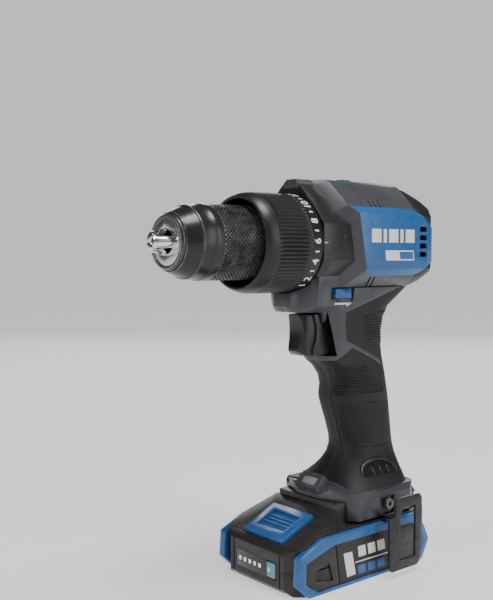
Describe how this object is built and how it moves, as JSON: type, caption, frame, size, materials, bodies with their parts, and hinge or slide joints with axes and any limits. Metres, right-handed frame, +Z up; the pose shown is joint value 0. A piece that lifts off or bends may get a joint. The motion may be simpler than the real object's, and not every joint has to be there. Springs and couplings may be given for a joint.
{
  "type": "cordless drill driver",
  "caption": "Pistol-grip cordless drill with keyless chuck, torque collar, trigger, selectors, belt clip and a slide-on battery pack.",
  "frame": {"origin": "middle of the battery pack's flat rest face", "axes": "+X the way the chuck points, +Y the tool's left side (belt clip side), +Z up through the handle to the head"},
  "size_m": [0.1972, 0.0827, 0.2431],
  "materials": {
    "housing_grey": "fine textured",
    "housing_black": "fine textured",
    "panel_blue": "satin",
    "grip_rubber": "matt, ribbed and grained",
    "pack_black": "fine textured",
    "chuck_black": "knurled",
    "collar_black": "ribbed, white numerals",
    "bright_steel": "machined",
    "nose_metal": "satin",
    "jaw_chrome": "polished",
    "gear_steel": "hardened",
    "screw_steel": "zinc plated",
    "clip_metal": "black powder coat",
    "case_polymer": "glass filled",
    "board_green": "solder masked",
    "cell_wrap": "shrink wrapped",
    "lead_red": "insulated",
    "lens_clear": "clear",
    "gauge_dark": "smoked",
    "button_pale": "translucent"
  },
  "bodies": {
    "housing": {"housing_left": "housing_grey", "housing_right": "housing_grey", "nose_shroud": "housing_black", "rear_cap": "housing_black", "side_panel_left": "panel_blue", "side_panel_right": "panel_blue", "grip_left": "grip_rubber", "grip_right": "grip_rubber", "housing_screws": "screw_steel", "gearbox_case": "case_polymer", "ring_gear": "gear_steel", "gearbox_screws": "screw_steel", "spindle_bearings": "bright_steel", "motor_can": "gear_steel", "motor_end_bell": "case_polymer", "trigger_switch": "case_polymer", "power_leads": "lead_red", "terminal_block": "case_polymer", "led_lens": "lens_clear", "belt_clip": "clip_metal", "clip_screw": "screw_steel"},
    "trigger": {"trigger": "housing_black", "trigger_spring": "gear_steel"},
    "direction_selector": {"direction_selector": "panel_blue"},
    "speed_selector": {"speed_selector": "panel_blue", "shift_fork": "gear_steel", "shift_ring_gear": "gear_steel"},
    "torque_collar": {"torque_collar": "collar_black"},
    "clutch_nut": {"clutch_nut": "gear_steel", "clutch_spring": "gear_steel"},
    "output": {"output_spindle": "bright_steel", "chuck_body": "bright_steel", "chuck_nose_ring": "nose_metal"},
    "planet_d": {"planet_gear_d": "gear_steel"},
    "planet_e": {"planet_gear_e": "gear_steel"},
    "planet_f": {"planet_gear_f": "gear_steel"},
    "carrier": {"carrier": "gear_steel"},
    "planet_a": {"planet_gear_a": "gear_steel"},
    "planet_b": {"planet_gear_b": "gear_steel"},
    "planet_c": {"planet_gear_c": "gear_steel"},
    "rotor": {"motor_rotor": "gear_steel", "cooling_fan": "case_polymer"},
    "chuck_sleeve": {"chuck_sleeve": "chuck_black", "chuck_nut": "gear_steel"},
    "jaw_a": {"chuck_jaw_a": "jaw_chrome"},
    "jaw_b": {"chuck_jaw_b": "jaw_chrome"},
    "jaw_c": {"chuck_jaw_c": "jaw_chrome"},
    "battery": {"battery_tray": "pack_black", "battery_lid": "pack_black", "battery_bumper_left": "panel_blue", "battery_bumper_right": "panel_blue", "battery_cells": "cell_wrap", "battery_board": "board_green", "battery_screws": "screw_steel", "gauge_lens": "gauge_dark"},
    "battery_latch": {"battery_latch": "panel_blue"},
    "gauge_button": {"gauge_button": "button_pale"}
  },
  "joints": [
    {"name": "trigger_pull", "type": "slide", "parent": "housing", "child": "trigger", "axis": [-1, 0, 0], "range_m": [0, 0.007], "stiffness_N_per_m": 900, "springref_m": -0.004, "deforming": ["trigger_spring"]},
    {"name": "direction_shift", "type": "slide", "parent": "housing", "child": "direction_selector", "axis": [0, 1, 0], "range_m": [-0.0025, 0.0025]},
    {"name": "speed_shift", "type": "slide", "parent": "housing", "child": "speed_selector", "axis": [1, 0, 0], "range_m": [-0.0058, 0]},
    {"name": "collar_turn", "type": "hinge", "parent": "housing", "child": "torque_collar", "pos_m": [0.05, 0, 0.203], "axis": [1, 0, 0], "range_deg": [-99, 147]},
    {"name": "clutch_feed", "type": "slide", "parent": "housing", "child": "clutch_nut", "axis": [1, 0, 0], "range_m": [-0.0017, 0.0025], "deforming": ["clutch_spring"]},
    {"name": "spindle_turn", "type": "hinge", "parent": "housing", "child": "output", "pos_m": [0.05, 0, 0.203], "axis": [1, 0, 0], "continuous": true},
    {"name": "planet_d_turn", "type": "hinge", "parent": "output", "child": "planet_d", "pos_m": [0.017, 0.0108, 0.203], "axis": [1, 0, 0], "continuous": true},
    {"name": "planet_e_turn", "type": "hinge", "parent": "output", "child": "planet_e", "pos_m": [0.017, -0.0054, 0.21235], "axis": [1, 0, 0], "continuous": true},
    {"name": "planet_f_turn", "type": "hinge", "parent": "output", "child": "planet_f", "pos_m": [0.017, -0.0054, 0.19365], "axis": [1, 0, 0], "continuous": true},
    {"name": "carrier_turn", "type": "hinge", "parent": "housing", "child": "carrier", "pos_m": [0.009, 0, 0.203], "axis": [1, 0, 0], "continuous": true},
    {"name": "planet_a_turn", "type": "hinge", "parent": "carrier", "child": "planet_a", "pos_m": [0.004, 0.0108, 0.203], "axis": [1, 0, 0], "continuous": true},
    {"name": "planet_b_turn", "type": "hinge", "parent": "carrier", "child": "planet_b", "pos_m": [0.004, -0.0054, 0.21235], "axis": [1, 0, 0], "continuous": true},
    {"name": "planet_c_turn", "type": "hinge", "parent": "carrier", "child": "planet_c", "pos_m": [0.004, -0.0054, 0.19365], "axis": [1, 0, 0], "continuous": true},
    {"name": "motor_turn", "type": "hinge", "parent": "housing", "child": "rotor", "pos_m": [-0.02, 0, 0.203], "axis": [1, 0, 0], "continuous": true},
    {"name": "sleeve_turn", "type": "hinge", "parent": "output", "child": "chuck_sleeve", "pos_m": [0.09, 0, 0.203], "axis": [1, 0, 0], "range_deg": [0, 2160]},
    {"name": "jaw_a_slide", "type": "slide", "parent": "output", "child": "jaw_a", "axis": [-0.9703, -0.121, 0.2095], "range_m": [0, 0.0221]},
    {"name": "jaw_b_slide", "type": "slide", "parent": "output", "child": "jaw_b", "axis": [-0.9703, -0.121, -0.2095], "range_m": [0, 0.0221]},
    {"name": "jaw_c_slide", "type": "slide", "parent": "output", "child": "jaw_c", "axis": [-0.9703, 0.2419, 0], "range_m": [0, 0.0221]},
    {"name": "pack_slide", "type": "slide", "parent": "housing", "child": "battery", "axis": [1, 0, 0], "range_m": [0, 0.075]},
    {"name": "latch_press", "type": "slide", "parent": "battery", "child": "battery_latch", "axis": [-0.3939, 0, -0.9191], "range_m": [0, 0.0024], "stiffness_N_per_m": 800, "springref_m": -0.001},
    {"name": "gauge_press", "type": "slide", "parent": "battery", "child": "gauge_button", "axis": [-1, 0, 0], "range_m": [0, 0.0008], "stiffness_N_per_m": 600, "springref_m": -0.0005}
  ],
  "couplings": [
    {"joint": "clutch_feed", "follows": "collar_turn", "m_per_rad": 0.00093},
    {"joint": "planet_d_turn", "follows": "spindle_turn", "ratio": -2.8},
    {"joint": "planet_e_turn", "follows": "spindle_turn", "ratio": -2.8},
    {"joint": "planet_f_turn", "follows": "spindle_turn", "ratio": -2.8},
    {"joint": "carrier_turn", "follows": "spindle_turn", "ratio": 4.5},
    {"joint": "planet_a_turn", "follows": "spindle_turn", "ratio": -12.6},
    {"joint": "planet_b_turn", "follows": "spindle_turn", "ratio": -12.6},
    {"joint": "planet_c_turn", "follows": "spindle_turn", "ratio": -12.6},
    {"joint": "motor_turn", "follows": "spindle_turn", "ratio": 20.25},
    {"joint": "jaw_a_slide", "follows": "sleeve_turn", "m_per_rad": 0.00058357},
    {"joint": "jaw_b_slide", "follows": "sleeve_turn", "m_per_rad": 0.00058357},
    {"joint": "jaw_c_slide", "follows": "sleeve_turn", "m_per_rad": 0.00058357}
  ]
}
